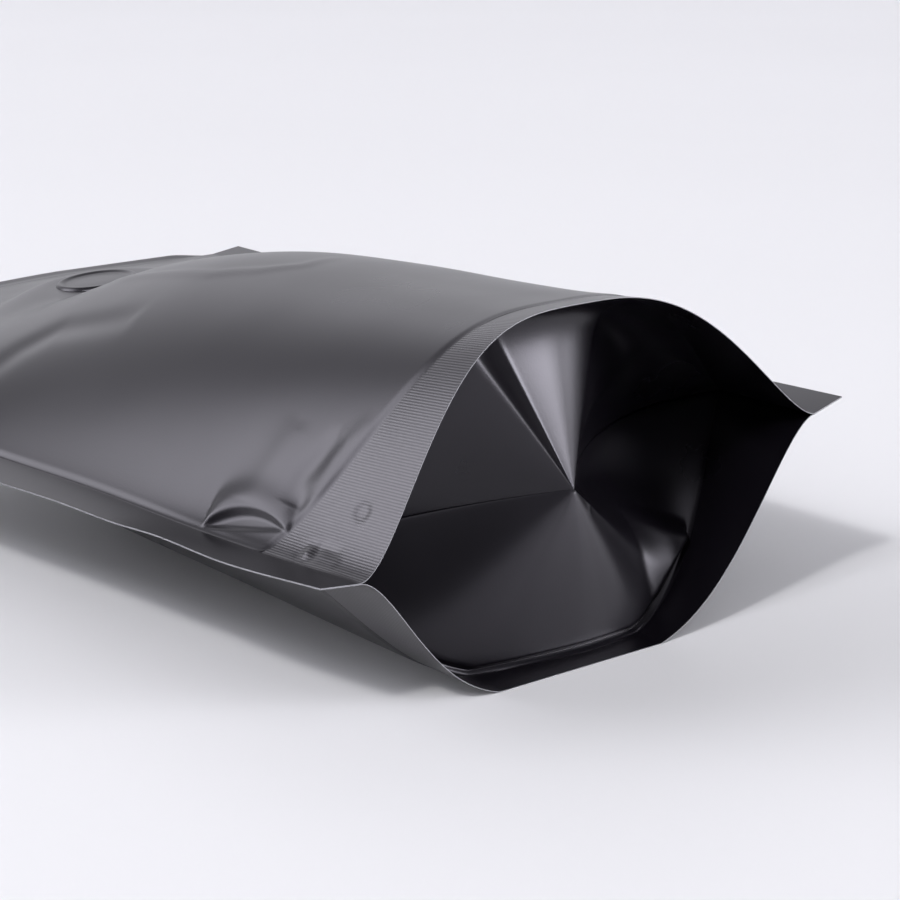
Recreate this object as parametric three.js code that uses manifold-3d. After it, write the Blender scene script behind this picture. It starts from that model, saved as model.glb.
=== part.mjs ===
// A matt black stand-up coffee bag with a one-way valve, empty but puffed with air.
// It lies on its back panel, with the folded-in bottom gusset at -Y and the mouth at +Y.
// Millimetres, +Z up. The origin is on the floor, under the middle of the bag.
import * as THREE from 'three';
import { mergeVertices } from 'three/addons/utils/BufferGeometryUtils.js';
import Module from 'manifold-3d';

// Flat sizes of the bag.
const BAG_WIDTH = 160;
const BAG_LENGTH = 229;
const SIDE_SEAL = 8.5;
const GUSSET_DEPTH = 40;
const BOTTOM_SEAL_MIDDLE = 6;
const BOTTOM_SEAL_CORNER = 27;

// Thickness of the welded films, as modelled.
const WALL = 0.8;

// Heights over the floor of the puffed bag, each with its distance from the bottom edge.
// The belly is drawn a little under the floor and pressed flat by it.
const CROWN_HEIGHT = [
  [0, 69.4], [20, 67.2], [45, 65.6], [80, 64], [110, 61.4], [140, 55.5], [173, 46], [229, 36.6],
];
const BELLY_HEIGHT = [[0, -1.2], [110, -1.2], [150, 4.5], [190, 19], [229, 31.9]];
const LEFT_SEAM_HEIGHT = [[0, 27.4], [40, 26.6], [120, 26.4], [229, 31]];
const RIGHT_SEAM_HEIGHT = [[0, 38.9], [60, 38.4], [140, 37.2], [229, 36.8]];

// How far the crown and the belly lie to the right of the middle.
const CROWN_OFFSET = [[0, -3], [60, 0], [140, 4], [229, 25]];

// Angles of the side seals above level, in degrees.
const LEFT_SEAL_ANGLE = [[0, 6], [50, -9], [140, -9], [229, 0]];
const RIGHT_SEAL_ANGLE = [[0, 15], [60, 4], [140, 0], [229, 8]];

// Shape of each quarter of a section, from the bottom edge to the mouth: distance, fullness, flare.
const FRONT_LEFT = [[0, 3.8, 2.05], [70, 2.5, 1.2], [229, 1.3, 1]];
const FRONT_RIGHT = [[0, 2.4, 1.5], [70, 2.3, 1.15], [229, 2, 1]];
const BACK_LEFT = [[0, 4, 2], [70, 2.7, 1.4], [229, 1.5, 1]];
const BACK_RIGHT = [[0, 3.3, 1.8], [70, 2.8, 1.3], [229, 2, 1]];

// The gusset is pushed out to a point in the middle, and its fold runs from there to deep corners.
const APEX = new THREE.Vector3(0, 8, 32);

// The lips of the mouth stand a little apart, down to the closure.
const LIP_DEPTH = 12;

// The narrowest gap that is modelled between the two panels.
const LEAST_GAP = 0.6;

// The valve, in a round seat in the front panel: its rigid disc holds the film round it flat.
const VALVE_RADIUS = 10;
const VALVE_FROM_BOTTOM = 173;
const VALVE_HEIGHT = 46;
const VALVE_SLOPE_ACROSS = 0.1;
const VALVE_SLOPE_ALONG = -0.05;
const VALVE_PROUD = 1.6;
const VALVE_SUNK = 1.4;
const VALVE_SHOULDER = 1.4;
const VALVE_DISH_DEPTH = 0.9;
const VALVE_DISH_RADIUS = 5;
const VALVE_GAP = 0.3;
const VALVE_PAD_RADIUS = 12;
const VALVE_PAD_BLEND = 14;

// Mesh density.
const COLUMNS = 44;
const STATIONS = 32;
const SECTION_SAMPLES = 72;
const WIDTH_ROUNDS = 14;
const GUSSET_LEVELS = 5;
const MOUTH_LEVELS = 2;
const VALVE_SIDES = 40;
const VALVE_STEPS = 4;

const PANEL_HALF = BAG_WIDTH / 2 - SIDE_SEAL;
const FRONT = 1;
const BACK = -1;

const { clamp, degToRad, lerp, smoothstep } = THREE.MathUtils;

// Smooth value at a distance along the bag, through stations of [distance, value, ...].
function along(stations, distance, column = 1) {
  const last = stations.length - 1;
  let i = 0;
  while (i < last - 1 && distance > stations[i + 1][0]) {
    i += 1;
  }
  const slopeAt = (k) => {
    const low = stations[Math.max(k - 1, 0)];
    const high = stations[Math.min(k + 1, last)];
    return (high[column] - low[column]) / (high[0] - low[0]);
  };
  const span = stations[i + 1][0] - stations[i][0];
  const t = clamp((distance - stations[i][0]) / span, 0, 1);
  const value = lerp(stations[i][column], stations[i + 1][column], smoothstep(t, 0, 1));
  const slope = slopeAt(i) * t * (1 - t) ** 2 - slopeAt(i + 1) * t * t * (1 - t);
  return value + slope * span;
}

// Height of one panel over a point of its section, for a puffed width of 2 * half between the side seams.
function panelHeight(face, x, y, half) {
  const middle = along(CROWN_OFFSET, y);
  const left = x < middle;
  const quarters = face === FRONT ? [FRONT_LEFT, FRONT_RIGHT] : [BACK_LEFT, BACK_RIGHT];
  const quarter = left ? quarters[0] : quarters[1];
  const seam = along(left ? LEFT_SEAM_HEIGHT : RIGHT_SEAM_HEIGHT, y);
  const peak = along(face === FRONT ? CROWN_HEIGHT : BELLY_HEIGHT, y);
  const out = Math.min((x - middle) / ((left ? -half : half) - middle), 1);
  const rise = (1 - out ** along(quarter, y, 1)) ** along(quarter, y, 2);
  const height = seam + (peak - seam) * rise + face * WALL / 2;
  return face === FRONT ? flattenedByValve(x, y, height) : Math.max(height, 0);
}

// The rigid valve holds a round pad of the front panel flat.
function flattenedByValve(x, y, height) {
  const pad = VALVE_HEIGHT + VALVE_SLOPE_ACROSS * x + VALVE_SLOPE_ALONG * (y - VALVE_FROM_BOTTOM);
  const reach = Math.hypot(x, y - VALVE_FROM_BOTTOM);
  const free = smoothstep(reach, VALVE_PAD_RADIUS, VALVE_PAD_RADIUS + VALVE_PAD_BLEND);
  return lerp(pad, height, free);
}

function panelCurve(face, y, half) {
  const points = [];
  for (let i = 0; i <= SECTION_SAMPLES; i += 1) {
    const x = half * (2 * i / SECTION_SAMPLES - 1);
    points.push(new THREE.Vector3(x, y, panelHeight(face, x, y, half)));
  }
  return points;
}

function lengthOf(points) {
  return points.slice(1).reduce((sum, point, i) => sum + point.distanceTo(points[i]), 0);
}

// The film keeps its width, so the more the bag is puffed, the closer its side seams come.
function puffedHalfWidth(y) {
  let half = PANEL_HALF;
  for (let round = 0; round < WIDTH_ROUNDS; round += 1) {
    const width = (lengthOf(panelCurve(FRONT, y, half)) + lengthOf(panelCurve(BACK, y, half))) / 2;
    half += (2 * PANEL_HALF - width) / 4;
  }
  return half;
}

// The outer edge of a side seal, from the seam at its root.
function sealEdge(root, side, degrees) {
  const angle = degToRad(degrees);
  const x = root.x + side * SIDE_SEAL * Math.cos(angle);
  return new THREE.Vector3(x, root.y, root.z + SIDE_SEAL * Math.sin(angle));
}

// One panel's section from the left seal's edge to the right seal's edge, in even steps of film.
function panelRow(face, y, half) {
  const curve = new THREE.CatmullRomCurve3(panelCurve(face, y, half));
  curve.arcLengthDivisions = 4 * SECTION_SAMPLES;
  const row = curve.getSpacedPoints(COLUMNS);
  row.forEach((point) => point.setZ(Math.max(point.z, 0)));
  const left = sealEdge(row[0], -1, along(LEFT_SEAL_ANGLE, y));
  const right = sealEdge(row[COLUMNS], 1, along(RIGHT_SEAL_ANGLE, y));
  return [left, ...row, right];
}

function sectionAt(y) {
  const half = puffedHalfWidth(y);
  return { front: panelRow(FRONT, y, half), back: panelRow(BACK, y, half) };
}

// The inner face of a row of wall points, one wall thickness in.
function innerRow(row, face) {
  return row.map((point, i) => {
    const before = row[Math.max(i - 1, 0)];
    const after = row[Math.min(i + 1, row.length - 1)];
    const tangent = after.clone().sub(before).normalize();
    return new THREE.Vector3(point.x + face * tangent.z * WALL, point.y, point.z - face * tangent.x * WALL);
  });
}

// Inner faces of a section. Where the panels are welded, both faces run down the middle of the weld.
function innerSection(y) {
  const { front, back } = sectionAt(y);
  const inner = { front: innerRow(front, FRONT), back: innerRow(back, BACK), open: [] };
  front.forEach((point, i) => {
    const open = inner.front[i].z - inner.back[i].z > LEAST_GAP;
    inner.open.push(open);
    if (!open) {
      inner.front[i] = point.clone().lerp(back[i], 0.5);
      inner.back[i] = inner.front[i];
    }
  });
  return inner;
}

// Where a column stands between the left seam at -1 and the right seam at 1.
function placeAcross(column) {
  return 2 * (column - 1) / COLUMNS - 1;
}

// How far the bottom seal reaches up the panels: narrow in the middle, wide at the corners.
function bottomSealAt(column) {
  return lerp(BOTTOM_SEAL_MIDDLE, BOTTOM_SEAL_CORNER, placeAcross(column) ** 2);
}

// One column of the gusset film: from the rim along the seals, then straight across to the fold,
// which runs straight from the apex to the side seams.
function gussetColumn(column, rim, foldSeams) {
  const seals = innerSection(bottomSealAt(column));
  const across = placeAcross(column);
  const corner = foldSeams[across < 0 ? 1 : COLUMNS + 1];
  const fold = APEX.clone().lerp(corner, Math.abs(across));
  const levels = [{ front: rim.front[column], back: rim.back[column] }];
  for (let level = 0; level <= GUSSET_LEVELS; level += 1) {
    const share = level / GUSSET_LEVELS;
    const front = seals.front[column].clone().lerp(fold, share);
    const back = seals.back[column].clone().lerp(fold, share);
    levels.push({ front, back });
  }
  return levels;
}

// One column of the mouth: between the lips, down to the closure.
function mouthColumn(column, rim, closure) {
  const foot = closure.front[column].clone().lerp(closure.back[column], 0.5);
  return [{ front: rim.front[column], back: rim.back[column] }, { front: foot, back: foot }];
}

// Rings that line a hollow end of the bag, from its rim inwards. Where the rim is welded they stay on it.
function hollowRings(rim, columnAt, levelCount) {
  const columns = rim.front.map((point, i) => {
    const welded = { front: point, back: point };
    return rim.open[i] ? columnAt(i) : new Array(levelCount).fill(welded);
  });
  return Array.from({ length: levelCount }, (unused, level) => ring({
    front: columns.map((levels) => levels[level].front),
    back: columns.map((levels) => levels[level].back),
  }));
}

function gussetRings() {
  const rim = innerSection(0);
  const foldSeams = sectionAt(GUSSET_DEPTH).front;
  return hollowRings(rim, (column) => gussetColumn(column, rim, foldSeams), GUSSET_LEVELS + 2);
}

function mouthRings() {
  const rim = innerSection(BAG_LENGTH);
  const closure = innerSection(BAG_LENGTH - LIP_DEPTH);
  return hollowRings(rim, (column) => mouthColumn(column, rim, closure), MOUTH_LEVELS);
}

function ring({ front, back }) {
  return [...front, ...back.slice().reverse()];
}

// A surface through rings of equal length, each joined to the next by two triangles a step.
function loft(rings) {
  const size = rings[0].length;
  const triangles = [];
  for (let r = 0; r + 1 < rings.length; r += 1) {
    for (let i = 0; i < size; i += 1) {
      const a = r * size + i;
      const b = r * size + (i + 1) % size;
      triangles.push(a, b, b + size, a, b + size, a + size);
    }
  }
  const geometry = new THREE.BufferGeometry().setFromPoints(rings.flat());
  geometry.setIndex(triangles);
  return geometry;
}

function bagGeometry() {
  const walls = [];
  for (let station = 0; station <= STATIONS; station += 1) {
    walls.push(ring(sectionAt(BAG_LENGTH * station / STATIONS)));
  }
  return loft([...gussetRings().reverse(), ...walls, ...mouthRings()]);
}

// A flat-bottomed disc with a rounded shoulder, shallowly dished inside it.
function valveGeometry() {
  const height = VALVE_SUNK + VALVE_PROUD;
  const rimRadius = VALVE_RADIUS - VALVE_SHOULDER;
  const profile = [new THREE.Vector2(0, 0), new THREE.Vector2(VALVE_RADIUS, 0)];
  for (let i = 0; i <= VALVE_STEPS; i += 1) {
    const turn = Math.PI * i / (2 * VALVE_STEPS);
    const radius = rimRadius + VALVE_SHOULDER * Math.cos(turn);
    profile.push(new THREE.Vector2(radius, height - VALVE_SHOULDER * (1 - Math.sin(turn))));
  }
  for (let i = 1; i <= VALVE_STEPS; i += 1) {
    const share = i / VALVE_STEPS;
    const radius = lerp(rimRadius, VALVE_DISH_RADIUS, share);
    profile.push(new THREE.Vector2(radius, height - VALVE_DISH_DEPTH * smoothstep(share, 0, 1)));
  }
  profile.push(new THREE.Vector2(0, height - VALVE_DISH_DEPTH));
  return new THREE.LatheGeometry(profile, VALVE_SIDES);
}

// The round hole that the valve sits in, open above the film.
function seatGeometry() {
  const radius = VALVE_RADIUS + VALVE_GAP;
  const depth = 2 * (VALVE_SUNK + VALVE_PROUD);
  return new THREE.CylinderGeometry(radius, radius, depth, VALVE_SIDES).translate(0, depth / 2, 0);
}

// Moves a geometry whose own axis is Y onto the flat pad at the valve, sunk by a depth.
function onPad(geometry, sunk) {
  const normal = new THREE.Vector3(-VALVE_SLOPE_ACROSS, -VALVE_SLOPE_ALONG, 1).normalize();
  const turn = new THREE.Quaternion().setFromUnitVectors(new THREE.Vector3(0, 1, 0), normal);
  const place = new THREE.Vector3(0, VALVE_FROM_BOTTOM, VALVE_HEIGHT).addScaledVector(normal, -sunk);
  return geometry.applyQuaternion(turn).translate(place.x, place.y, place.z);
}

// A solid from a closed surface. Its shared corners are merged, and the triangles that this closes up go.
function toSolid(wasm, geometry) {
  geometry.deleteAttribute('normal');
  geometry.deleteAttribute('uv');
  const merged = mergeVertices(geometry);
  const corners = Array.from(merged.getIndex().array);
  const triangles = [];
  for (let i = 0; i < corners.length; i += 3) {
    const [a, b, c] = corners.slice(i, i + 3);
    if (a !== b && b !== c && c !== a) {
      triangles.push(a, b, c);
    }
  }
  const vertProperties = new Float32Array(merged.getAttribute('position').array);
  const triVerts = new Uint32Array(triangles);
  return new wasm.Manifold(new wasm.Mesh({ numProp: 3, vertProperties, triVerts }));
}

function toGeometry(solid) {
  const mesh = solid.getMesh();
  const geometry = new THREE.BufferGeometry();
  geometry.setAttribute('position', new THREE.BufferAttribute(new Float32Array(mesh.vertProperties), 3));
  geometry.setIndex(new THREE.BufferAttribute(new Uint32Array(mesh.triVerts), 1));
  return geometry;
}

function named(name, geometry, material) {
  const mesh = new THREE.Mesh(geometry, material);
  mesh.name = name;
  return mesh;
}

const wasm = await Module();
wasm.setup();

const film = new THREE.MeshStandardMaterial({ color: 0x1b1b1f, roughness: 0.5, metalness: 0 });
const valveFilm = new THREE.MeshStandardMaterial({ color: 0x232327, roughness: 0.42, metalness: 0 });

const seat = toSolid(wasm, onPad(seatGeometry(), VALVE_SUNK + VALVE_GAP));
const pouch = toGeometry(toSolid(wasm, bagGeometry()).subtract(seat));
const valve = onPad(valveGeometry(), VALVE_SUNK);

const bag = new THREE.Group();
bag.add(named('pouch', pouch, film));
bag.add(named('degassing_valve', valve, valveFilm));
bag.position.y = -BAG_LENGTH / 2;

export default bag;
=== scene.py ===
"""A matt black stand-up coffee bag with a one-way valve, empty, puffed with air and lying on its back."""

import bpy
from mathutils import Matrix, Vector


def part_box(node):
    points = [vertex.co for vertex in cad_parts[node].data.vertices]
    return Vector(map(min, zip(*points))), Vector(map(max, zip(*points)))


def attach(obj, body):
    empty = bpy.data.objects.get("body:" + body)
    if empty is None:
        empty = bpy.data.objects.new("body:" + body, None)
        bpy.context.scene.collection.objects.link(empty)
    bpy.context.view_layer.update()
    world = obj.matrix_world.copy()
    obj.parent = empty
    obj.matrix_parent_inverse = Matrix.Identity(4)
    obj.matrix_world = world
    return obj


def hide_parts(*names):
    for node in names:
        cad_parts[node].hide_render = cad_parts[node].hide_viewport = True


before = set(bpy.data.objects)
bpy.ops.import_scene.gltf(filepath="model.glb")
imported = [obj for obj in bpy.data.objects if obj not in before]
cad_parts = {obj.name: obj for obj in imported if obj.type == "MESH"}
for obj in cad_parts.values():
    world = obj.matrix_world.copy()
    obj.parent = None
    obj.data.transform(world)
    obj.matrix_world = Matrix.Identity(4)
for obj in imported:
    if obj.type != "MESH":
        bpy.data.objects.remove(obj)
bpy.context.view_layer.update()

import math

import bpy
import numpy as np
from mathutils import Vector
from bpy.props import FloatProperty, FloatVectorProperty, IntProperty, PointerProperty

bl_info = {
    "name": "Coffee bag with valve",
    "version": (1, 0, 0),
    "blender": (4, 5, 0),
    "location": "View3D > Sidebar > Coffee bag",
    "description": "Makes the films, the valve and the studio of a stand-up coffee bag",
    "category": "Object",
}

MM = 0.001
BODY = "root"

# The bag's box in the frame, in metres: the bottom edge is at its low Y and the mouth at its high Y.
POUCH_LOW, POUCH_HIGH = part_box("pouch")
LENGTH = POUCH_HIGH.y - POUCH_LOW.y

# Heights over the floor of the puffed bag in millimetres, each with its distance from the bottom edge.
CROWN_HEIGHT = (
    (0, 69.4), (20, 67.2), (45, 65.6), (80, 64), (110, 61.4), (140, 55.5), (173, 46), (229, 36.6),
)
BELLY_HEIGHT = ((0, -1.2), (110, -1.2), (150, 4.5), (190, 19), (229, 31.9))
LEFT_SEAM_HEIGHT = ((0, 27.4), (40, 26.8), (80, 27.3), (120, 27.2), (229, 31))
RIGHT_SEAM_HEIGHT = ((0, 38.9), (60, 38.4), (140, 37.2), (229, 36.8))
# How far the crown lies to the right of the middle.
CROWN_OFFSET = ((0, -3), (60, 0), (140, 4), (229, 25))

# Angles of the side seals above level, in degrees.
LEFT_SEAL_ANGLE = ((0, 6), (26, 0), (46, 3), (62, -3), (80, -5), (110, -9), (140, -9), (229, 0))
RIGHT_SEAL_ANGLE = ((0, 15), (60, 4), (140, 0), (229, 8))

# Shape of each quarter of a section: distance from the bottom edge, fullness, flare.
FRONT_LEFT = ((0, 3.8, 2.05), (70, 2.5, 1.2), (229, 1.3, 1))
FRONT_RIGHT = ((0, 2.4, 1.5), (70, 2.3, 1.15), (229, 2, 1))
BACK_LEFT = ((0, 4, 2), (70, 2.7, 1.4), (229, 1.5, 1))
BACK_RIGHT = ((0, 3.3, 1.8), (70, 2.8, 1.3), (229, 2, 1))
FRONT, BACK = 1, -1

# The crown and belly heights are to the middle of the frame's wall, which is thicker than the film. The
# film's outer face is where the wall's outer face is.
FRAME_WALL = 0.8

# The valve's place on the front panel and the slope of the round pad that it holds flat.
VALVE_FROM_BOTTOM = 173
VALVE_HEIGHT = 46.7
VALVE_SLOPE_ACROSS = 0.1
VALVE_SLOPE_ALONG = -0.05
VALVE_PAD_RADIUS = 12
VALVE_PAD_BLEND = 14

# The gusset is pushed out to a point in the middle, and its fold runs from there to deep corners.
APEX = np.array((0.0, 8.0, 32.0))

# How finely a section is measured, and how its width is brought to the film's width, round by round.
SECTION_SAMPLES = 240
WIDTH_ROUNDS = 14
WIDTH_STEP = 0.25


# ---------------------------------------------------------------- user's settings


class CoffeeBagSettings(bpy.types.PropertyGroup):
    """Sizes and colours of the bag"""

    width: FloatProperty(
        name="Width", description="Flat width over the side seals", default=0.160, min=0.08,
        subtype="DISTANCE", unit="LENGTH")
    length: FloatProperty(
        name="Length", description="From the bottom edge to the mouth", default=LENGTH, min=0.1,
        subtype="DISTANCE", unit="LENGTH")
    side_seal: FloatProperty(
        name="Side seal", description="Width of each side seal", default=0.0085, min=0.004,
        subtype="DISTANCE", unit="LENGTH")
    film: FloatProperty(
        name="Film", description="Thickness of the laminated film", default=0.00014, min=0.0001,
        subtype="DISTANCE", unit="LENGTH")
    gusset_depth: FloatProperty(
        name="Gusset depth", description="Depth of the folded bottom gusset", default=0.040, min=0.02,
        subtype="DISTANCE", unit="LENGTH")
    gusset_draw: FloatProperty(
        name="Gusset draw", description="How much further in the puffed gusset's corners are drawn",
        default=0.006, subtype="DISTANCE", unit="LENGTH")
    seal_middle: FloatProperty(
        name="Bottom seal, middle", description="Height of the bottom seal in the middle", default=0.006,
        subtype="DISTANCE", unit="LENGTH")
    seal_corner: FloatProperty(
        name="Bottom seal, corner", description="Height of the bottom seal at the corners", default=0.027,
        subtype="DISTANCE", unit="LENGTH")
    rib_pitch: FloatProperty(
        name="Rib pitch", description="Spacing of the fine ribs in the bottom seal", default=0.00056,
        subtype="DISTANCE", unit="LENGTH")
    valve_radius: FloatProperty(
        name="Valve radius", description="Radius of the valve's ring", default=0.010, min=0.005,
        subtype="DISTANCE", unit="LENGTH")
    film_color: FloatVectorProperty(
        name="Film colour", description="Colour of the matt film", subtype="COLOR", size=3,
        min=0, max=1, default=(0.0028, 0.0022, 0.0038))
    film_roughness: FloatProperty(
        name="Film roughness", description="How matt the film is", default=0.29, min=0, max=1,
        subtype="FACTOR")
    # Paler colour painted on the seal's ribs: a painted glint that stands in for the light their fine
    # ridges catch.
    rib_glint_color: FloatVectorProperty(
        name="Rib colour", description="Paler tone of the ribs pressed into the bottom seal",
        subtype="COLOR", size=3, min=0, max=1, default=(0.07, 0.068, 0.072))
    edge_color: FloatVectorProperty(
        name="Cut edge colour", description="Colour of the film's cut edge", subtype="COLOR", size=3,
        min=0, max=1, default=(0.30, 0.30, 0.32))
    film_columns: IntProperty(
        name="Columns", description="Grid columns across each panel", default=200, min=40)
    film_rows: IntProperty(
        name="Rows", description="Grid rows along each panel", default=235, min=40)


class CoffeeBagStageSettings(bpy.types.PropertyGroup):
    """Floor, lights and camera"""

    floor_size: FloatProperty(
        name="Floor size", description="Side of the square floor", default=9.0, min=2,
        subtype="DISTANCE", unit="LENGTH")
    floor_color: FloatVectorProperty(
        name="Floor colour", description="Colour of the pale floor", subtype="COLOR", size=3,
        min=0, max=1, default=(0.84, 0.84, 0.85))
    key_power: FloatProperty(
        name="Key light", description="Power of the lamp at the left", default=26.0, min=0, unit="POWER")
    softbox_light: FloatProperty(
        name="Softbox", description="Brightness of the softbox below the lamp", default=16.0, min=0)
    window_light: FloatProperty(
        name="Window", description="Brightness of the high window behind the camera", default=0.9, min=0)
    side_glow: FloatProperty(
        name="Side glow", description="Brightness of the glow behind the left side", default=5.5, min=0)
    high_glow: FloatProperty(
        name="High glow", description="Brightness of the glow high behind the bag", default=0.72, min=0)
    backdrop_light: FloatProperty(
        name="Backdrop", description="Brightness of the pale backdrop behind the bag", default=0.9, min=0)
    front_light: FloatProperty(
        name="Front light", description="Brightness of the low light at the front right", default=17.0,
        min=0)
    lens: FloatProperty(
        name="Lens", description="Focal length of the camera", default=100.0, min=10, unit="CAMERA")


def bag_settings():
    return bpy.context.scene.coffee_bag


def stage_settings():
    return bpy.context.scene.coffee_bag_stage


# ---------------------------------------------------------------- form of the puffed bag


def smooth_between(value, low, high):
    """Rises smoothly from 0 at low to 1 at high."""
    share = np.clip((value - low) / (high - low), 0, 1)
    return share * share * (3 - 2 * share)


def blend(start, end, share):
    return start + (end - start) * share


def along(stations, distance, column=1):
    """Smooth values at distances along the bag, through stations of (distance, value, ...)."""
    places = np.array([station[0] for station in stations], float)
    values = np.array([station[column] for station in stations], float)
    last = len(places) - 1
    low = np.maximum(np.arange(last + 1) - 1, 0)
    high = np.minimum(np.arange(last + 1) + 1, last)
    slopes = (values[high] - values[low]) / (places[high] - places[low])
    i = np.clip(np.searchsorted(places, distance, side="right") - 1, 0, last - 1)
    span = places[i + 1] - places[i]
    t = np.clip((distance - places[i]) / span, 0, 1)
    value = blend(values[i], values[i + 1], t * t * (3 - 2 * t))
    slope = slopes[i] * t * (1 - t) ** 2 - slopes[i + 1] * t * t * (1 - t)
    return value + slope * span


def panel_half():
    """Half the flat width between the side seals, in millimetres."""
    bag = bag_settings()
    return (bag.width / 2 - bag.side_seal) / MM


def panel_height(face, x, y, half):
    """Height of a panel's outer face over a point of its section."""
    film = bag_settings().film / MM
    middle = along(CROWN_OFFSET, y)
    left = x < middle
    left_quarter, right_quarter = (FRONT_LEFT, FRONT_RIGHT) if face == FRONT else (BACK_LEFT, BACK_RIGHT)
    fullness = np.where(left, along(left_quarter, y, 1), along(right_quarter, y, 1))
    flare = np.where(left, along(left_quarter, y, 2), along(right_quarter, y, 2))
    seam = np.where(left, along(LEFT_SEAM_HEIGHT, y), along(RIGHT_SEAM_HEIGHT, y))
    peak = along(CROWN_HEIGHT if face == FRONT else BELLY_HEIGHT, y) + face * (FRAME_WALL / 2 - film)
    out = np.clip((x - middle) / (np.where(left, -half, half) - middle), 0, 1)
    rise = (1 - out ** fullness) ** flare
    height = seam + (peak - seam) * rise + face * film
    if face == BACK:
        return np.maximum(height, 0)
    pad = VALVE_HEIGHT + VALVE_SLOPE_ACROSS * x + VALVE_SLOPE_ALONG * (y - VALVE_FROM_BOTTOM)
    reach = np.hypot(x, y - VALVE_FROM_BOTTOM)
    return blend(pad, height, smooth_between(reach, VALVE_PAD_RADIUS, VALVE_PAD_RADIUS + VALVE_PAD_BLEND))


def puffed_half_width(y):
    """The film keeps its width, so the more the bag is puffed, the closer its side seams come."""
    flat = panel_half()
    half = np.full((len(y), 1), flat)
    across = np.linspace(-1, 1, SECTION_SAMPLES)[None, :]
    for _ in range(WIDTH_ROUNDS):
        widths = []
        for face in (FRONT, BACK):
            x = half * across
            z = panel_height(face, x, y[:, None], half)
            widths.append(np.hypot(np.diff(x), np.diff(z)).sum(1, keepdims=True))
        half = half + (2 * flat - sum(widths) / 2) * WIDTH_STEP
    return half


def panel_points(face, u, v):
    """Points of a panel's outer face, for flat places u across and v along.

    There is one row of points for each v. The places across are the same for all rows, or a row each.
    """
    flat = panel_half()
    u = np.broadcast_to(u, (len(v), np.shape(u)[-1]))
    half = puffed_half_width(v)
    x = half * np.linspace(-1, 1, SECTION_SAMPLES)[None, :]
    z = panel_height(face, x, v[:, None], half)
    travelled = np.hypot(np.diff(x), np.diff(z)).cumsum(1)
    travelled = np.concatenate([np.zeros((len(v), 1)), travelled], 1) / travelled[:, -1:]
    share = np.clip((u + flat) / (2 * flat), 0, 1)
    points = np.zeros((*u.shape, 3))
    points[..., 1] = v[:, None]
    for row in range(len(v)):
        points[row, :, 0] = np.interp(share[row], travelled[row], x[row])
        points[row, :, 2] = np.interp(share[row], travelled[row], z[row])
    for side, angles in ((-1, LEFT_SEAL_ANGLE), (1, RIGHT_SEAL_ANGLE)):
        out = np.clip(side * u - flat, 0, None)
        angle = np.radians(along(angles, v))[:, None]
        points[..., 0] += side * out * np.cos(angle)
        points[..., 2] += out * np.sin(angle)
    return points


# How late the bottom seal's edge rises towards the corners, as a power of the share of the way there.
SEAL_CURVE = 1.7


def bottom_seal_at(u):
    """How far the bottom seal reaches up the panels: narrow in the middle, wide at the corners."""
    bag = bag_settings()
    across = np.clip(np.abs(u) / panel_half(), 0, 1)
    return blend(bag.seal_middle, bag.seal_corner, across ** SEAL_CURVE) / MM


def surface_normals(points):
    """Unit normals of a sheet of points, turned as the cross product of columns and rows."""
    across = np.gradient(points, axis=1)
    up = np.gradient(points, axis=0)
    normals = np.cross(across, up)
    return normals / np.maximum(np.linalg.norm(normals, axis=2, keepdims=True), 1e-9)


# ---------------------------------------------------------------- marks in the film
# Their places are flat ones in millimetres: u across from the middle, v up from the bottom edge.


def distance_to_line(u, v, points):
    """Distance to a line of points, and how far along it the nearest place is, from 0 to 1."""
    lengths = [math.dist(a, b) for a, b in zip(points, points[1:])]
    total = sum(lengths)
    nearest = np.full(np.broadcast(u, v).shape, 1e9)
    place = np.zeros_like(nearest)
    done = 0.0
    for (a, b), length in zip(zip(points, points[1:]), lengths):
        share = ((u - a[0]) * (b[0] - a[0]) + (v - a[1]) * (b[1] - a[1])) / length ** 2
        share = np.clip(share, 0, 1)
        gap = np.hypot(u - blend(a[0], b[0], share), v - blend(a[1], b[1], share))
        closer = gap < nearest
        nearest = np.where(closer, gap, nearest)
        place = np.where(closer, (done + share * length) / total, place)
        done += length
    return nearest, place


def crease(u, v, points, width, height):
    """A ridge or, with a negative height, a groove along a line. It fades out at both ends."""
    gap, place = distance_to_line(u, v, points)
    fade = np.clip(4 * place * (1 - place), 0, 1) ** 0.5
    return height * fade * np.exp(-((gap / width) ** 2))


# The slight unevenness of the free film: its height, the usual pitch of its waves and how many there are.
UNEVENNESS = 0.1
WAVE_PITCH = 46
WAVE_COUNT = 7
WAVE_SEED = 3


def waves(u, v):
    """Gentle unevenness: a few sine waves in seeded directions, together between -1 and 1."""
    draw = np.random.default_rng(WAVE_SEED)
    total = 0.0
    for _ in range(WAVE_COUNT):
        angle, phase = draw.uniform(0, 2 * math.pi, 2)
        pitch = WAVE_PITCH * draw.uniform(0.7, 1.5)
        total = total + np.sin((u * math.cos(angle) + v * math.sin(angle)) * 2 * math.pi / pitch + phase)
    return total / WAVE_COUNT


# Where the film leaves the seals: from and to which distance past them it swells, and how high it does on
# the front and on the back.
SWELL_EDGE = (-0.1, 1.8)
FRONT_SWELL = 0.24
BACK_SWELL = 0.2


def puffed_edge(u, v):
    """The film swells at once beyond the seals, which leaves a crease along them."""
    seal = bottom_seal_at(u)
    past_bottom = smooth_between(v, seal + SWELL_EDGE[0], seal + SWELL_EDGE[1])
    past_side = smooth_between(panel_half() - np.abs(u), *SWELL_EDGE)
    return past_bottom * past_side


# The tuck in the film over the corner of the seals. Its base line runs down beside the side seal. The rim
# and the foot of its drop are arcs over that line: their sizes, and the powers that shape their ends.
TUCK_START = (-71.2, 45.5)
TUCK_END = (-66.3, 24.3)
TUCK_RIM = 14.0
TUCK_RIM_POWERS = (0.45, 0.73)
TUCK_FOOT = 2.9
TUCK_FOOT_POWER = 1.2
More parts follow.
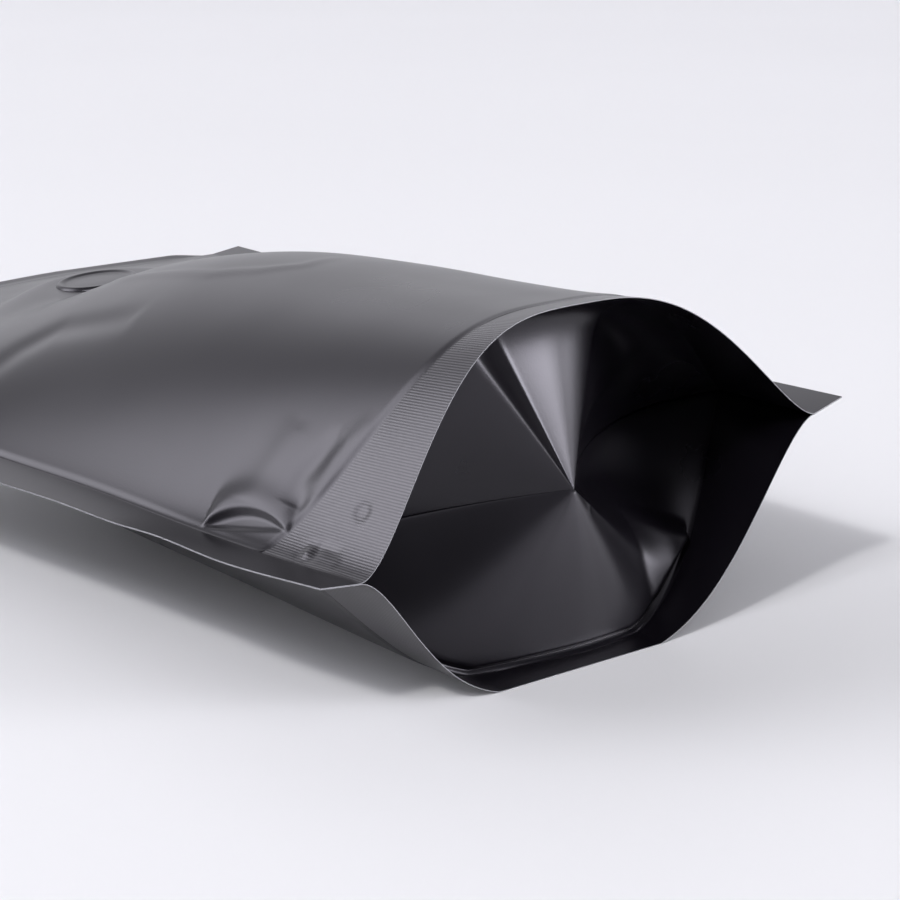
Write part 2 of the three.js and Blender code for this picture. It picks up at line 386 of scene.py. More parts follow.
# The drop fills these shares of the way from foot to rim. Its depth is a share of that way, and the rim
# stands out by a share of the depth and falls off over the shoulder.
TUCK_DROP = (0.05, 0.8)
TUCK_DEPTH = 0.3
TUCK_RIM_SHARE = 0.65
TUCK_SHOULDER = 4.0
# Distances from the base line between which the lip over the seal goes down to the ledge.
TUCK_LIP = (0.1, 1.5)


def tucked(u, v):
    """How far the film stands out in the tuck: a raised rim, a steep drop, a ledge and a lip."""
    length = math.dist(TUCK_START, TUCK_END)
    down = ((TUCK_END[0] - TUCK_START[0]) / length, (TUCK_END[1] - TUCK_START[1]) / length)
    past = (u - TUCK_START[0], v - TUCK_START[1])
    t = np.clip((past[0] * down[0] + past[1] * down[1]) / length, 0, 1)
    out = past[1] * down[0] - past[0] * down[1]
    rim = TUCK_RIM * t ** TUCK_RIM_POWERS[0] * (1 - t) ** TUCK_RIM_POWERS[1]
    foot = TUCK_FOOT * (4 * t * (1 - t)) ** TUCK_FOOT_POWER
    gap = np.maximum(rim - foot, 1e-6)
    step = smooth_between((out - foot) / gap, *TUCK_DROP)
    raised = TUCK_RIM_SHARE * np.exp(-(np.clip(out - rim, 0, None) / TUCK_SHOULDER) ** 2)
    sunk = (1 - TUCK_RIM_SHARE) * smooth_between(out, *TUCK_LIP)
    return TUCK_DEPTH * gap * (raised * step - sunk * (1 - step))


# Folds of the front panel: each a line of places, its half width and how high it stands.
PANEL_FOLDS = (
    # Soft folds that run on from the tuck, beside the bottom seal.
    (((-63, 37), (-56, 37), (-46, 35)), 4.2, 0.22),
    (((-61, 28), (-55, 27.5), (-46, 23)), 2.6, -0.3),
    (((-58, 22.5), (-50, 22), (-42, 17)), 2.2, 0.16),
    # A soft valley in the left flank.
    (((-31, 108), (-36, 132), (-44, 137.5), (-58, 141)), 4.5, -0.7),
    # A low ridge over the crown, below the valve.
    (((-7, 152), (-12, 137), (-12.3, 119), (-12.5, 104), (-8.5, 92), (-2.5, 85), (10, 88)), 2.2, 0.4),
    # Small pinches in the corner.
    (((-66.3, 16.2), (-66.8, 12.5), (-67.2, 9.8)), 1.2, -0.26),
    (((-67.9, 14.5), (-68.3, 11), (-69, 8.5)), 1.2, 0.2),
    (((-70, 16), (-70.6, 12), (-71.3, 6), (-72.5, 0)), 1.2, 0.18),
)
# A dent beside the tuck's lower end: its half sizes across and along, and its depth.
DENT_PLACE = (-60, 25.2)
DENT_SIZE = (2.4, 2.0)
DENT_DEPTH = 0.3
# The punched hole of the gusset shows through the seal.
PUNCH_PLACE = (-58.4, 9.5)
PUNCH_INNER = 0.8
PUNCH_OUTER = 2.6
PUNCH_DEPTH = 0.2
# A pimple in the corner, with a shallow ring round it.
PIMPLE_PLACE = (-68.5, 17)
PIMPLE_RADIUS = 1.05
PIMPLE_HEIGHT = 0.36
PIMPLE_RING_RADIUS = 2.1
PIMPLE_RING_WIDTH = 0.9
PIMPLE_RING_DEPTH = 0.12


def corner_marks(u, v):
    """The dent, the punched hole's mark and the pimple."""
    across = (u - DENT_PLACE[0]) / DENT_SIZE[0]
    up = (v - DENT_PLACE[1]) / DENT_SIZE[1]
    dent = DENT_DEPTH * np.exp(-(across ** 2 + up ** 2))
    reach = np.hypot(u - PUNCH_PLACE[0], v - PUNCH_PLACE[1])
    hole = PUNCH_DEPTH * (1 - smooth_between(reach, PUNCH_INNER, PUNCH_OUTER))
    reach = np.hypot(u - PIMPLE_PLACE[0], v - PIMPLE_PLACE[1])
    pimple = PIMPLE_HEIGHT * np.exp(-(reach / PIMPLE_RADIUS) ** 2)
    ring = PIMPLE_RING_DEPTH * np.exp(-((reach - PIMPLE_RING_RADIUS) / PIMPLE_RING_WIDTH) ** 2)
    return pimple - ring - hole - dent


# The swelling fades out over this length before the mouth. The unevenness grows between two distances
# from the side seals, and from past the bottom seal to a distance from the bottom edge.
SWELL_FADE = 14
FREE_FROM_SIDES = (2, 14)
FREE_PAST_SEAL = 2
FREE_FROM_BOTTOM = 40


def front_relief(u, v):
    """How far the marks in the front panel stand out from its puffed form, in millimetres."""
    length = bag_settings().length / MM
    swell = FRONT_SWELL * puffed_edge(u, v) * (1 - smooth_between(v, length - SWELL_FADE, length))
    from_sides = smooth_between(panel_half() - np.abs(u), *FREE_FROM_SIDES)
    from_bottom = smooth_between(v, bottom_seal_at(u) + FREE_PAST_SEAL, FREE_FROM_BOTTOM)
    uneven = UNEVENNESS * from_sides * from_bottom * waves(u, v)
    folds = sum(crease(u, v, line, width, height) for line, width, height in PANEL_FOLDS)
    return swell + uneven + tucked(u, v) + folds + corner_marks(u, v)


# At the mouth the back panel comes up under the front one, with a narrow gap. Starts and ends are
# distances before the mouth.
SHUT_START = 26
SHUT_END = 3
SHUT_GAP = 0.1
# The back panel is a little longer and curls up behind the front one, more where the mouth gapes, and not
# at the side seals.
BACK_LIP_LENGTH = 3.4
BACK_LIP_START = 14
BACK_LIP_RISE = 0.7
BACK_LIP_GAPE = 1.9
BACK_LIP_FROM_SIDES = (0, 12)
CURL_START = 3.5
CURL_POWER = 1.5
GAPE_PLACE = -42
GAPE_WIDTH = 17


def close_mouth(points, u, v):
    """Brings the back panel up under the front one at the mouth, and curls its longer lip up."""
    film = bag_settings().film / MM
    length = bag_settings().length / MM
    front = panel_points(FRONT, u[0], v[:, 0])
    shut = smooth_between(v, length - SHUT_START, length - SHUT_END)
    target = front.copy()
    target[..., 2] -= 2 * film + SHUT_GAP
    points[...] = blend(points, target, shut[..., None])
    free = smooth_between(panel_half() - np.abs(u), *BACK_LIP_FROM_SIDES)
    points[..., 1] += BACK_LIP_LENGTH * free * smooth_between(v, length - BACK_LIP_START, length)
    curl = BACK_LIP_RISE + BACK_LIP_GAPE * np.exp(-((u - GAPE_PLACE) / GAPE_WIDTH) ** 2)
    points[..., 2] += curl * free * smooth_between(v, length - CURL_START, length) ** CURL_POWER


# ---------------------------------------------------------------- making meshes by hand


# Edges that turn by more than this, in degrees, aren't shaded smooth.
SMOOTH_ANGLE = 50


def deselect():
    """Leaves edit mode and selects nothing."""
    if bpy.context.object and bpy.context.object.mode != "OBJECT":
        bpy.ops.object.mode_set(mode="OBJECT")
    bpy.ops.object.select_all(action="DESELECT")


def only(piece):
    """Makes a piece the only one selected, and active."""
    deselect()
    piece.select_set(True)
    bpy.context.view_layer.objects.active = piece


def in_edit_mode(piece, *steps):
    """Runs edit steps on all of a piece."""
    only(piece)
    bpy.ops.object.mode_set(mode="EDIT")
    bpy.ops.mesh.select_all(action="SELECT")
    for step in steps:
        step()
    bpy.ops.object.mode_set(mode="OBJECT")


def apply_modifier(piece, kind, **settings):
    """Adds a modifier of a kind with its settings, and applies it."""
    only(piece)
    modifier = piece.modifiers.new(kind.title(), kind)
    for name, value in settings.items():
        setattr(modifier, name, value)
    bpy.ops.object.modifier_apply(modifier=modifier.name)


def cut_sheet(name, columns, rows):
    """A flat square of film, cut into a grid, which is then shaped to its place."""
    deselect()
    bpy.ops.mesh.primitive_grid_add(x_subdivisions=columns, y_subdivisions=rows, size=1)
    sheet = bpy.context.object
    sheet.name = sheet.data.name = name
    return sheet


def grid_places(sheet):
    """Each vertex's column and row, and the shares across and along at the columns and rows."""
    count = len(sheet.data.vertices)
    flat = np.empty(count * 3)
    sheet.data.vertices.foreach_get("co", flat)
    flat = np.round(flat.reshape(-1, 3), 5)
    across, column = np.unique(flat[:, 0], return_inverse=True)
    up, row = np.unique(flat[:, 1], return_inverse=True)
    return column, row, across + 0.5, up + 0.5


def to_frame(points):
    """From the bag's own millimetres to the frame's metres."""
    placed = points * MM
    placed[..., 1] += POUCH_LOW.y
    return placed


def move_vertices(sheet, points):
    sheet.data.vertices.foreach_set("co", to_frame(points).ravel())
    sheet.data.update()


def write_flat_map(sheet, places):
    """The UV map holds each vertex's place on the flat film, in metres."""
    layer = sheet.data.uv_layers.active
    layer.name = "flat_film"
    corners = np.empty(len(sheet.data.loops), int)
    sheet.data.loops.foreach_get("vertex_index", corners)
    layer.data.foreach_set("uv", (places[corners] * MM).ravel())


def write_attribute(sheet, name, values):
    """Keeps a number for each vertex, which a material can read."""
    attribute = sheet.data.attributes.new(name=name, type="FLOAT", domain="POINT")
    attribute.data.foreach_set("value", values.astype(np.float32))


def smooth_faces(piece):
    only(piece)
    bpy.ops.object.shade_smooth_by_angle(angle=math.radians(SMOOTH_ANGLE))


def finish_film(sheet, edge):
    """Gives a shaped sheet its thickness, inwards from its outer face, with a cut edge all round."""
    for material in (surface_material(), edge, inside_material()):
        sheet.data.materials.append(material)
    apply_modifier(
        sheet, "SOLIDIFY", thickness=bag_settings().film, offset=-1, use_even_offset=False,
        use_quality_normals=True, material_offset_rim=1, material_offset=2)
    smooth_faces(sheet)


def stands_for(piece, node):
    """The piece rides on the bag's body and replaces a node of the frame."""
    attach(piece, BODY)
    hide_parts(node)


# ---------------------------------------------------------------- materials


# Scales of the noises, in features for each metre.
SHEEN_CLOUDS = 34
FILM_GRAIN = 2600
EDGE_SPECKS = 900
FLOOR_CLOUDS = 3
# Most of a noise's values lie between these two.
NOISE_RANGE = (0.3, 0.7)

# Heights of the film's grain and of the ribs in its seal, in metres, and how strongly each shows.
GRAIN_HEIGHT = 0.00002
GRAIN_STRENGTH = 0.5
RIB_HEIGHT = 0.00003
RIB_STRENGTH = 0.7
# How far the film's colour, as a share, and its roughness go up and down in the clouds.
COLOR_CHANGE = 0.1
ROUGHNESS_CHANGE = 0.02
FILM_IOR = 1.48
FILM_SHEEN_TINT = (0.95, 0.92, 1.0)

# The darkest tones of the cut edge and the floor, as shares of their colours, and how matt both are.
EDGE_DARKEST = 0.7
EDGE_ROUGHNESS = 0.5
FLOOR_DARKEST = 0.985
FLOOR_ROUGHNESS = 0.55
FLOOR_SPECULAR = 0.2


def new_material(name):
    material = bpy.data.materials.new(name)
    material.use_nodes = True
    tree = material.node_tree
    return material, tree, tree.nodes["Principled BSDF"]


def add_node(tree, kind, **values):
    """A new node. Values go to its inputs by name, or else to its own settings."""
    node = tree.nodes.new(kind)
    for name, value in values.items():
        label = name.replace("_", " ").title()
        if label in node.inputs:
            node.inputs[label].default_value = value
        else:
            setattr(node, name, value)
    return node


def noise(tree, place, scale, detail):
    node = add_node(tree, "ShaderNodeTexNoise", scale=scale, detail=detail)
    tree.links.new(place, node.inputs["Vector"])
    return node.outputs["Fac"]


def ranged(tree, value, low, high, known=NOISE_RANGE, curve="LINEAR"):
    """Turns a value that lies in a known range into one between low and high."""
    node = add_node(tree, "ShaderNodeMapRange", interpolation_type=curve)
    for name, number in zip(("From Min", "From Max", "To Min", "To Max"), (*known, low, high)):
        node.inputs[name].default_value = number
    tree.links.new(value, node.inputs["Value"])
    return node.outputs["Result"]


def calculated(tree, operation, *values):
    """A node that adds or multiplies values, each a socket or a number."""
    node = add_node(tree, "ShaderNodeMath", operation=operation)
    for socket, value in zip(node.inputs, values):
        if isinstance(value, float):
            socket.default_value = value
        else:
            tree.links.new(value, socket)
    return node.outputs["Value"]


def tinted(tree, value, dark, light):
    """A colour between two, by a noise's value."""
    ramp = add_node(tree, "ShaderNodeValToRGB")
    for stop, position, color in zip(ramp.color_ramp.elements, NOISE_RANGE, (dark, light)):
        stop.position = position
        stop.color = (*color, 1)
    tree.links.new(value, ramp.inputs["Fac"])
    return ramp.outputs["Color"]


def mixed(tree, share, color, other):
    """Turns a colour into another one by a share."""
    mix = add_node(tree, "ShaderNodeMix", data_type="RGBA")
    color_a, color_b = (socket for socket in mix.inputs if socket.type == "RGBA")
    tree.links.new(share, mix.inputs["Factor"])
    tree.links.new(color, color_a)
    color_b.default_value = (*other, 1)
    return next(socket for socket in mix.outputs if socket.type == "RGBA")


def bumped(tree, height, distance, strength, normal=None):
    bump = add_node(tree, "ShaderNodeBump", strength=strength, distance=distance)
    tree.links.new(height, bump.inputs["Height"])
    if normal is not None:
        tree.links.new(normal, bump.inputs["Normal"])
    return bump.outputs["Normal"]


def scaled(color, factor):
    return tuple(channel * factor for channel in color)


def film_material(name, ribbed):
    """Matt laminated film: near black, with a fine grain and soft differences in sheen.

    The ribbed one also has fine ribs where the film is sealed at the bottom, with a paler colour painted
    on them as the glints of their ridges.
    """
    bag = bag_settings()
    material, tree, shader = new_material(name)
    place = add_node(tree, "ShaderNodeTexCoord").outputs["Object"]
    clouds = noise(tree, place, SHEEN_CLOUDS, detail=4)
    grain = noise(tree, place, FILM_GRAIN, detail=2)
    dark, light = (scaled(bag.film_color, 1 + change) for change in (-COLOR_CHANGE, COLOR_CHANGE))
    color = tinted(tree, clouds, dark, light)
    low, high = bag.film_roughness - ROUGHNESS_CHANGE, bag.film_roughness + ROUGHNESS_CHANGE
    tree.links.new(ranged(tree, clouds, low, high), shader.inputs["Roughness"])
    normal = bumped(tree, grain, GRAIN_HEIGHT, GRAIN_STRENGTH)
    if ribbed:
        ribs = seal_ribs(tree, bag.rib_pitch)
        # Paints the ribs paler, as painted glints of their fine ridges.
        color = mixed(tree, ribs, color, bag.rib_glint_color)
        normal = bumped(tree, ribs, RIB_HEIGHT, RIB_STRENGTH, normal)
    tree.links.new(color, shader.inputs["Base Color"])
    tree.links.new(normal, shader.inputs["Normal"])
    shader.inputs["IOR"].default_value = FILM_IOR
    shader.inputs["Specular Tint"].default_value = (*FILM_SHEEN_TINT, 1)
    return material


def seal_ribs(tree, pitch):
    """Fine ribs along the bag, only where the attribute says that the film is sealed."""
    flat = add_node(tree, "ShaderNodeUVMap", uv_map="flat_film")
    # At scale 1 the wave texture repeats every pi / 10.
    wave = add_node(tree, "ShaderNodeTexWave", bands_direction="X", scale=math.pi / 10 / pitch)
    tree.links.new(flat.outputs["UV"], wave.inputs["Vector"])
    seal = add_node(tree, "ShaderNodeAttribute", attribute_name="bottom_seal")
    return calculated(tree, "MULTIPLY", wave.outputs["Fac"], seal.outputs["Fac"])


def cut_edge_material(name):
    """The pale core of the laminate, where the film is cut."""
    bag = bag_settings()
    material, tree, shader = new_material(name)
    place = add_node(tree, "ShaderNodeTexCoord").outputs["Object"]
    specks = noise(tree, place, EDGE_SPECKS, detail=2)
    color = tinted(tree, specks, scaled(bag.edge_color, EDGE_DARKEST), bag.edge_color)
    tree.links.new(color, shader.inputs["Base Color"])
    shader.inputs["Roughness"].default_value = EDGE_ROUGHNESS
    return material


def floor_material():
    """A pale painted floor with barely visible unevenness."""
    stage = stage_settings()
    material, tree, shader = new_material("pale_floor")
    place = add_node(tree, "ShaderNodeTexCoord").outputs["Object"]
    clouds = noise(tree, place, FLOOR_CLOUDS, detail=3)
    color = tinted(tree, clouds, scaled(stage.floor_color, FLOOR_DARKEST), stage.floor_color)
    tree.links.new(color, shader.inputs["Base Color"])
    shader.inputs["Roughness"].default_value = FLOOR_ROUGHNESS
    shader.inputs["Specular IOR Level"].default_value = FLOOR_SPECULAR
    return material


def shared_material(name, make, *values):
    """The material of this name, made once."""
    return bpy.data.materials.get(name) or make(name, *values)


def surface_material():
    """The film's outer face, with the ribs of the bottom seal."""
    return shared_material("matt_film", film_material, True)


def inside_material():
    """The film's inner face, which is smooth at the seals too."""
    return shared_material("film_inside", film_material, False)


def edge_material():
    return shared_material("cut_edge", cut_edge_material)


# ---------------------------------------------------------------- pieces


# Where the panels' columns are closer together, and by how much more than elsewhere: over the left corner,
# from distances outside its seam to flat places, and from a distance inside the right seam.
CORNER_STARTS = (4, 1.5)
CORNER_ENDS = (-56, -50)
CORNER_FINENESS = 2.8
RIGHT_SEAL_STARTS = 3
RIGHT_SEAL_FINENESS = 1.2
# The same for their rows: up to flat places past the tuck, and from flat places below the mouth.
TUCK_ROWS_END = (46, 54)
TUCK_FINENESS = 2.2
MOUTH_ROWS_START = (205, 215)
MOUTH_FINENESS = 1
# The same for the steps along the gusset's spokes, from shares of the way to the seals.
SPOKE_ENDS_START = (0.86, 0.95)
SPOKE_FINENESS = 3
FINENESS_SAMPLES = 2000


def spread_out(shares, start, end, fineness):
    """Places from start to end, closer together where the fineness function of the place is high."""
    probe = np.linspace(start, end, FINENESS_SAMPLES)
    weight = np.concatenate([[0], np.cumsum(fineness((probe[1:] + probe[:-1]) / 2))])
    return np.interp(shares, weight / weight[-1], probe)


def fine_columns(u):
    """Fine columns over the left corner and its seal, and fairly fine ones at the right seal."""
    half = panel_half()
    corner = smooth_between(u, -half - CORNER_STARTS[0], -half - CORNER_STARTS[1])
    corner = corner * (1 - smooth_between(u, *CORNER_ENDS))
    right_seal = smooth_between(u, half - RIGHT_SEAL_STARTS, half)
    return 1 + CORNER_FINENESS * corner + RIGHT_SEAL_FINENESS * right_seal


def fine_rows(v):
    """Fine rows over the bottom seal and the tuck, and fairly fine ones at the mouth."""
    seal_and_tuck = 1 - smooth_between(v, *TUCK_ROWS_END)
    mouth = smooth_between(v, *MOUTH_ROWS_START)
    return 1 + TUCK_FINENESS * seal_and_tuck + MOUTH_FINENESS * mouth


# The back panel swells only where it is clear of the floor: not below the first height, and fully from the
# second one.
CLEAR_OF_FLOOR = (0.5, 4)
# The ribs end over this length below the bottom seal's edge, and over this one to each side of the side
# seals' edges.
RIBS_END_BELOW = 0.4
RIBS_END_BESIDE = 0.5


def shaped_panel(face, u, v):
    """Points of one panel of the puffed bag with its marks, for grids of flat places."""
    points = panel_points(face, u[0], v[:, 0])
    if face == FRONT:
        points += surface_normals(points) * front_relief(u, v)[..., None]
    else:
        swell = BACK_SWELL * smooth_between(points[..., 2], *CLEAR_OF_FLOOR) * puffed_edge(u, v)
        points -= surface_normals(points) * swell[..., None]
        close_mouth(points, u, v)
    return points


def ribbed_share(u, v):
    """1 where the bottom seal has its ribs, and 0 elsewhere."""
    half = panel_half()
    seal = bottom_seal_at(u)
    below = 1 - smooth_between(v, seal - RIBS_END_BELOW, seal)
    return below * (1 - smooth_between(np.abs(u), half - RIBS_END_BESIDE, half + RIBS_END_BESIDE))


def make_panel(face, name):
    """Cuts one panel, shapes it to its side of the puffed bag and finishes it."""
    bag = bag_settings()
    sheet = cut_sheet(name, bag.film_columns, bag.film_rows)
    column, row, across, up = grid_places(sheet)
    u = spread_out(across, -bag.width / 2 / MM, bag.width / 2 / MM, fine_columns)
    v = spread_out(up, 0, bag.length / MM, fine_rows)
    flat = np.meshgrid(u, v)
    move_vertices(sheet, shaped_panel(face, *flat)[row, column])
    write_flat_map(sheet, np.stack([u[column], v[row]], 1))
    write_attribute(sheet, "bottom_seal", ribbed_share(*flat)[row, column])
    if face == BACK:
        in_edit_mode(sheet, bpy.ops.mesh.flip_normals)
    finish_film(sheet, edge_material())
    return sheet


class COFFEEBAG_OT_front_film(bpy.types.Operator):
    """Cuts and shapes the front panel"""

    bl_idname = "coffee_bag.front_film"
    bl_label = "Front film"

    def execute(self, context):
        sheet = make_panel(FRONT, "front_film")
        stands_for(sheet, "pouch")
        return {"FINISHED"}


class COFFEEBAG_OT_back_film(bpy.types.Operator):
    """Cuts and shapes the back panel"""

    bl_idname = "coffee_bag.back_film"
    bl_label = "Back film"

    def execute(self, context):
        sheet = make_panel(BACK, "back_film")
        stands_for(sheet, "pouch")
        return {"FINISHED"}


def panel_facing(face, u, v, step=0.5):
    """Unit normals of a panel's puffed form at single places, pointing out of the bag."""
    rows = [panel_points(face, u[:, None] + [-step, 0, step], v + up) for up in (-step, 0, step)]
    normal = np.cross(rows[1][:, 2] - rows[1][:, 0], rows[2][:, 1] - rows[0][:, 1])
    return face * normal / np.linalg.norm(normal, axis=1, keepdims=True)


def panel_place(face, u, v):
    """A panel's points at single places, with its marks."""
    points = panel_points(face, u[:, None], v)[:, 0]
    if face == BACK:
        return points
    return points + front_relief(u, v)[:, None] * panel_facing(face, u, v)


# Spokes of the gusset film, from the apex to the seals: how many on each stretch of its outline, and
# how many steps each has. They end inside the panels' film, at this share of its thickness.
FRONT_SPOKES = 160
SIDE_SPOKES = 8
BACK_SPOKES = 160
SPOKE_STEPS = 90
SUNK_IN_FILM = 0.6
# Points closer together than this, in metres, are one.
DOUBLES_WITHIN = 1e-7


def fine_shares(share):
    """Fine steps along the spokes where the film meets the seals."""
    return 1 + SPOKE_FINENESS * smooth_between(share, *SPOKE_ENDS_START)


def gusset_outline():
    """The outline of the free gusset film, where it leaves the seals, as a closed loop of points.

    It runs over the front from left to right, down the right seam and back, then over the back from right
    to left, and along the left seam. With each point go its stretch, which is 1 on the front, -1 on the
    back and 0 on the seams, and its flat u.
    """
    bag = bag_settings()
    film = bag.film / MM
    half = panel_half()
    corner = bag.seal_corner / MM
    fold = (bag.gusset_depth + bag.gusset_draw) / MM
    points, sides, places = [], [], []
    for face, count, direction in ((FRONT, FRONT_SPOKES, 1), (BACK, BACK_SPOKES, -1)):
        u = direction * np.linspace(-half, half, count + 1)
        v = bottom_seal_at(u)
        # At the side seals the outline stays where both panels meet.
        inner = (np.abs(u) < half - 0.01)[:, None]
        points.append(panel_place(face, u, v) - SUNK_IN_FILM * film * inner * panel_facing(face, u, v))
        sides.append(np.full(len(u), face))
        places.append(u)
        # Down the seam to the fold's corner and back.
        seam = LEFT_SEAM_HEIGHT if direction < 0 else RIGHT_SEAM_HEIGHT
        down = np.linspace(corner, fold, SIDE_SPOKES + 1)[1:]
        down = np.concatenate([down, down[-2::-1]])
        edge = panel_points(FRONT, np.array([direction * half]), down)[:, 0]
        edge[:, 2] = along(seam, down)
        points.append(edge)
        sides.append(np.zeros(len(down)))
        places.append(np.full(len(down), direction * half))
    return np.concatenate(points), np.concatenate(sides), np.concatenate(places)


# The gusset's creases run from its middle point. Each has its flat place where it meets the seals and how
# far the film stands out there, in millimetres: first over the front seal, then over the back one.
FRONT_CREASES = (
    (-71.5, 0), (-42, 0.7), (-24, 0.5), (-22, 0), (-13, -5.7), (-11, -6.3), (6, -7), (20.5, -7.5),
    (23, -9.6), (34, -9.8), (45, -7), (58, -3), (71.5, 0),
)
BACK_CREASES = (
    (-71.5, 0), (-56, 0.8), (-44, 1.4), (-34, 1), (-24, 0.2), (-8, -0.9), (6, -0.9), (16, -0.5),
    (28, -2.3), (45, -2.2), (71.5, 0),
)
# On the way from the middle point to the front seal the creases grow evenly, nearly up to it. On the way
# to the back one they grow late and end round. These are their gains and the powers of that way.
FRONT_GAIN = 1.3
FRONT_END = 14
BACK_GAIN = 1.8
BACK_START = 1.3
BACK_END = 0.3
# At the right the film sinks deep into the bag, most halfway out from its middle point.
FRONT_SINK = ((-71.5, 0), (18, 0), (34, 2), (50, 8), (71.5, 12))
BACK_SINK = ((-71.5, 0), (28, 0), (38, 4), (52, 10), (71.5, 12))
CORNER_SINK = 12
# How far the fold at the left bows up, and between which distances from the middle that grows.
FOLD_BOW = 1.3
FOLD_GROWS = (12, 71)
# The small marks fade out over this share of the way, before the seals.
MARKS_FADE = 0.04

# Just before the back seal the film dips, which leaves a thin lip along it. The dip's place and width are
# shares of the way to the seal, and it ends between these two distances from the middle.
LIP_PLACE = 0.968
LIP_WIDTH = 0.016
LIP_DIP = 0.7
LIP_ENDS = (32, 42)

# The pucker beside the back seal: a facet with its raised corner and its two low ones, as (x, z). Beyond
# the raised corner it falls a little steeper than it rises, and its sides end between two distances.
PUCKER_PEAK = (35, 15)
PUCKER_TOP = (21, 21)
PUCKER_FOOT = (23, 5)
PUCKER_HEIGHT = 3.8
PUCKER_FALL = 1.2
PUCKER_SIDES = (-0.5, 3)
# A little curved wrinkle by the middle point, as (x, z).
WRINKLE = ((3.6, 35), (5.4, 33), (5.6, 30), (3.8, 26.5))
WRINKLE_WIDTH = 0.6
WRINKLE_HEIGHT = 0.2


def side_of(x, z, a, b):
    """Distance to the left of the line from a to b."""
    length = math.dist(a, b)
    return ((b[0] - a[0]) * (z - a[1]) - (b[1] - a[1]) * (x - a[0])) / length


def gusset_bumps(x, z):
    """Small marks in the gusset: the pucker at its right and the wrinkle by its middle point."""
    reach = abs(side_of(*PUCKER_PEAK, PUCKER_TOP, PUCKER_FOOT))
    rising = -side_of(x, z, PUCKER_FOOT, PUCKER_TOP) / reach
    above = side_of(x, z, PUCKER_TOP, PUCKER_PEAK)
    below = -side_of(x, z, PUCKER_FOOT, PUCKER_PEAK)
    tent = np.clip(np.minimum(rising, 1 + PUCKER_FALL * (1 - rising)), 0, None)
    for past_side in (above, below):
        tent = tent * (1 - smooth_between(past_side, *PUCKER_SIDES))
    return PUCKER_HEIGHT * tent + crease(x, z, WRINKLE, WRINKLE_WIDTH, WRINKLE_HEIGHT)


def gusset_relief(side, place, share, points):
    """How far the gusset film stands out towards the open bottom, at a share of the way to the seals."""
    front = along(FRONT_CREASES, place) * (side == FRONT)
    back = along(BACK_CREASES, place) * (side == BACK)
    corner = CORNER_SINK * ((side == 0) & (place > 0))
    sink = along(FRONT_SINK, place) * (side == FRONT) + along(BACK_SINK, place) * (side == BACK) + corner
    out = share[:, None]
    upper = FRONT_GAIN * out * (1 - out ** FRONT_END)
    lower = BACK_GAIN * out ** BACK_START * (1 - out) ** BACK_END
    creases = front[None, :] * upper + back[None, :] * lower
    dip = LIP_DIP * np.exp(-((out - LIP_PLACE) / LIP_WIDTH) ** 2)
    dip = dip * (side == BACK) * (1 - smooth_between(np.abs(place), *LIP_ENDS))
    bumps = gusset_bumps(points[..., 0], points[..., 2]) * smooth_between(1 - out, 0, MARKS_FADE)
    return creases - sink[None, :] * 4 * out * (1 - out) - dip + bumps


def fold_lift(side, place, share):
    """How far the fold at the left bows up between the middle point and the corner."""
    near = np.where(side == 0, 1, smooth_between(-place, *FOLD_GROWS)) * (place < 0)
    return FOLD_BOW * near * 4 * share[:, None] * (1 - share[:, None])


class COFFEEBAG_OT_gusset_film(bpy.types.Operator):
    """Shapes the folded-in gusset, a fan of film from its middle point to the seals"""

    bl_idname = "coffee_bag.gusset_film"
    bl_label = "Gusset film"

    def execute(self, context):
        outline, side, place = gusset_outline()
        outline = np.concatenate([outline, outline[:1]])
        side = np.append(side, side[0])
        place = np.append(place, place[0])
        sheet = cut_sheet("gusset_film", len(outline) - 1, SPOKE_STEPS)
        column, row, _, up = grid_places(sheet)
        share = spread_out(up, 0, 1, fine_shares)
        points = APEX + share[:, None, None] * (outline[None, :, :] - APEX)
        points[..., 1] -= gusset_relief(side, place, share, points)
        points[..., 2] += fold_lift(side, place, share)
        move_vertices(sheet, points[row, column])
        write_flat_map(sheet, np.stack([place[column], share[row] * bag_settings().gusset_depth / MM], 1))
        in_edit_mode(sheet, self.join_spokes, self.face_outwards)
        finish_film(sheet, surface_material())
        stands_for(sheet, "pouch")
        return {"FINISHED"}

    @staticmethod
    def join_spokes():
        """Merges the spokes at the middle point, and the last one with the first."""
        bpy.ops.mesh.remove_doubles(threshold=DOUBLES_WITHIN)

    @staticmethod
    def face_outwards():
        """The film's outer face looks out of the open bottom, towards -Y."""
        bpy.ops.mesh.normals_make_consistent(inside=False)
        bpy.ops.object.mode_set(mode="OBJECT")
        mesh = bpy.context.object.data
        facing = sum(face.normal.y * face.area for face in mesh.polygons)
        bpy.ops.object.mode_set(mode="EDIT")
        if facing > 0:
            bpy.ops.mesh.select_all(action="SELECT")
            bpy.ops.mesh.flip_normals()


# The valve's face from its rim inwards: step in radius and step in height, in millimetres. Its rim starts
# a little below the film.
VALVE_EDGE_SUNK = 0.25
VALVE_THICKNESS = 1.2
VALVE_STEPS = (
    (0.2, 0.4), (0.3, 0.42), (0.35, 0.34), (0.35, 0.08), (0.35, -0.06), (0.35, -0.15), (0.4, -0.18),
    (0.4, -0.1), (0.6, -0.02), (1.0, 0.06), (1.2, 0.08), (1.3, 0.05), (1.2, 0.02), (0.9, 0.0),
)
VALVE_SIDES = 96


